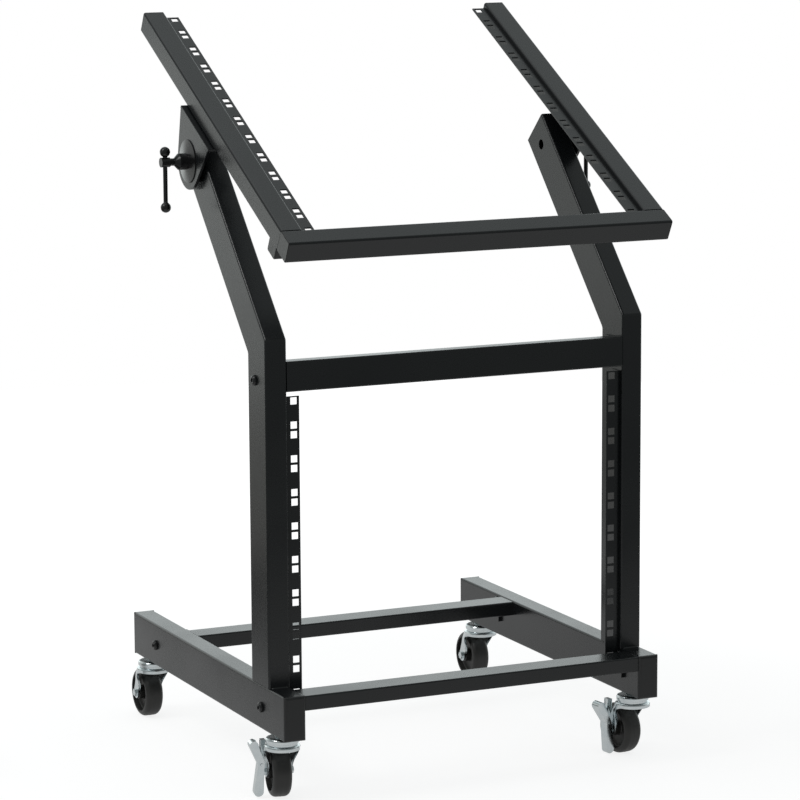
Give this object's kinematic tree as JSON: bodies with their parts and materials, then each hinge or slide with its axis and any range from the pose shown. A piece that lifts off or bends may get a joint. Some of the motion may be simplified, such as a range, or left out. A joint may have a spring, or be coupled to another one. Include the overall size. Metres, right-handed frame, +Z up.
{
  "type": "rolling equipment rack",
  "caption": "Rolling equipment rack with bent side frames on swivel casters, an upright front rack bay and a clamp-held tilting top rack bay.",
  "frame": {"origin": "on the floor, in the middle of the outline", "axes": "+X to the rack's right seen from its front, +Y to its back, +Z up"},
  "size_m": [0.6452, 0.6124, 1.01],
  "materials": {
    "frame_black": "satin powder coat",
    "strip_black": "satin powder coat",
    "cap_black": "moulded satin",
    "bolt_black": "blackened",
    "clamp_black": "satin",
    "disc_black": "matte",
    "zinc": "bright zinc plate",
    "wheel_black": "satin"
  },
  "bodies": {
    "base": {"bolt_left_front": "bolt_black", "bolt_left_rear": "bolt_black", "bolt_left_upright": "bolt_black", "bolt_right_front": "bolt_black", "bolt_right_rear": "bolt_black", "bolt_right_upright": "bolt_black", "caster_stem_left_front": "zinc", "caster_stem_left_rear": "zinc", "caster_stem_right_front": "zinc", "caster_stem_right_rear": "zinc", "friction_disc_left": "disc_black", "friction_disc_right": "disc_black", "front_crossbar": "frame_black", "lower_strip_left": "strip_black", "lower_strip_right": "strip_black", "middle_crossbar": "frame_black", "rail_cap_left_front": "cap_black", "rail_cap_left_rear": "cap_black", "rail_cap_right_front": "cap_black", "rail_cap_right_rear": "cap_black", "rail_left": "frame_black", "rail_right": "frame_black", "rear_crossbar": "frame_black", "upright_cap_left": "cap_black", "upright_cap_right": "cap_black", "upright_left": "frame_black", "upright_right": "frame_black"},
    "top_frame": {"front_bar": "frame_black", "front_bar_cap_left": "cap_black", "front_bar_cap_right": "cap_black", "pivot_bracket_left": "frame_black", "pivot_bracket_right": "frame_black", "stop_tube": "frame_black", "stop_tube_cap_left": "cap_black", "stop_tube_cap_right": "cap_black", "top_rail_cap_left": "cap_black", "top_rail_cap_right": "cap_black", "top_rail_left": "frame_black", "top_rail_right": "frame_black", "top_strip_left": "strip_black", "top_strip_right": "strip_black"},
    "clamp_left": {"clamp_screw_left": "clamp_black"},
    "tommy_left": {"tommy_bar_left": "clamp_black"},
    "brake_left": {"brake_lever_left": "zinc"},
    "swivel_left_front": {"caster_fork_left_front": "zinc", "caster_axle_left_front": "zinc"},
    "wheel_left_front": {"caster_wheel_left_front": "wheel_black"},
    "swivel_left_rear": {"caster_fork_left_rear": "zinc", "caster_axle_left_rear": "zinc"},
    "wheel_left_rear": {"caster_wheel_left_rear": "wheel_black"},
    "clamp_right": {"clamp_screw_right": "clamp_black"},
    "tommy_right": {"tommy_bar_right": "clamp_black"},
    "brake_right": {"brake_lever_right": "zinc"},
    "swivel_right_front": {"caster_fork_right_front": "zinc", "caster_axle_right_front": "zinc"},
    "wheel_right_front": {"caster_wheel_right_front": "wheel_black"},
    "swivel_right_rear": {"caster_fork_right_rear": "zinc", "caster_axle_right_rear": "zinc"},
    "wheel_right_rear": {"caster_wheel_right_rear": "wheel_black"}
  },
  "joints": [
    {"name": "top_tilt", "type": "hinge", "parent": "base", "child": "top_frame", "pos_m": [0, 0.01741, 0.82132], "axis": [1, 0, 0], "range_deg": [-27.8, 17]},
    {"name": "clamp_turn_left", "type": "hinge", "parent": "base", "child": "clamp_left", "pos_m": [-0.283, 0.01741, 0.82132], "axis": [-1, 0, 0], "range_deg": [0, 360]},
    {"name": "tommy_slide_left", "type": "slide", "parent": "clamp_left", "child": "tommy_left", "axis": [0, 0, 1], "range_m": [0, 0.0464]},
    {"name": "clamp_turn_right", "type": "hinge", "parent": "base", "child": "clamp_right", "pos_m": [0.283, 0.01741, 0.82132], "axis": [1, 0, 0], "range_deg": [0, 360]},
    {"name": "tommy_slide_right", "type": "slide", "parent": "clamp_right", "child": "tommy_right", "axis": [0, 0, 1], "range_m": [0, 0.0464]},
    {"name": "caster_swivel_left_front", "type": "hinge", "parent": "base", "child": "swivel_left_front", "pos_m": [-0.26, -0.2308, 0.091], "axis": [0, 0, 1], "continuous": true},
    {"name": "wheel_spin_left_front", "type": "hinge", "parent": "swivel_left_front", "child": "wheel_left_front", "pos_m": [-0.25466, -0.20331, 0.035], "axis": [0.9816, -0.1908, 0], "continuous": true},
    {"name": "brake_rock_left", "type": "hinge", "parent": "swivel_left_front", "child": "brake_left", "pos_m": [-0.27773, -0.19883, 0.0455], "axis": [0.1908, 0.9816, 0], "range_deg": [-8, 0]},
    {"name": "caster_swivel_right_front", "type": "hinge", "parent": "base", "child": "swivel_right_front", "pos_m": [0.26, -0.2308, 0.091], "axis": [0, 0, 1], "continuous": true},
    {"name": "wheel_spin_right_front", "type": "hinge", "parent": "swivel_right_front", "child": "wheel_right_front", "pos_m": [0.25659, -0.20301, 0.035], "axis": [0.9925, 0.1219, 0], "continuous": true},
    {"name": "brake_rock_right", "type": "hinge", "parent": "swivel_right_front", "child": "brake_right", "pos_m": [0.23326, -0.20587, 0.0455], "axis": [-0.1219, 0.9925, 0], "range_deg": [0, 8]},
    {"name": "caster_swivel_left_rear", "type": "hinge", "parent": "base", "child": "swivel_left_rear", "pos_m": [-0.26, 0.2432, 0.091], "axis": [0, 0, 1], "continuous": true},
    {"name": "wheel_spin_left_rear", "type": "hinge", "parent": "swivel_left_rear", "child": "wheel_left_rear", "pos_m": [-0.26, 0.2712, 0.035], "axis": [1, 0, 0], "continuous": true},
    {"name": "caster_swivel_right_rear", "type": "hinge", "parent": "base", "child": "swivel_right_rear", "pos_m": [0.26, 0.2432, 0.091], "axis": [0, 0, 1], "continuous": true},
    {"name": "wheel_spin_right_rear", "type": "hinge", "parent": "swivel_right_rear", "child": "wheel_right_rear", "pos_m": [0.26, 0.2712, 0.035], "axis": [1, 0, 0], "continuous": true}
  ]
}
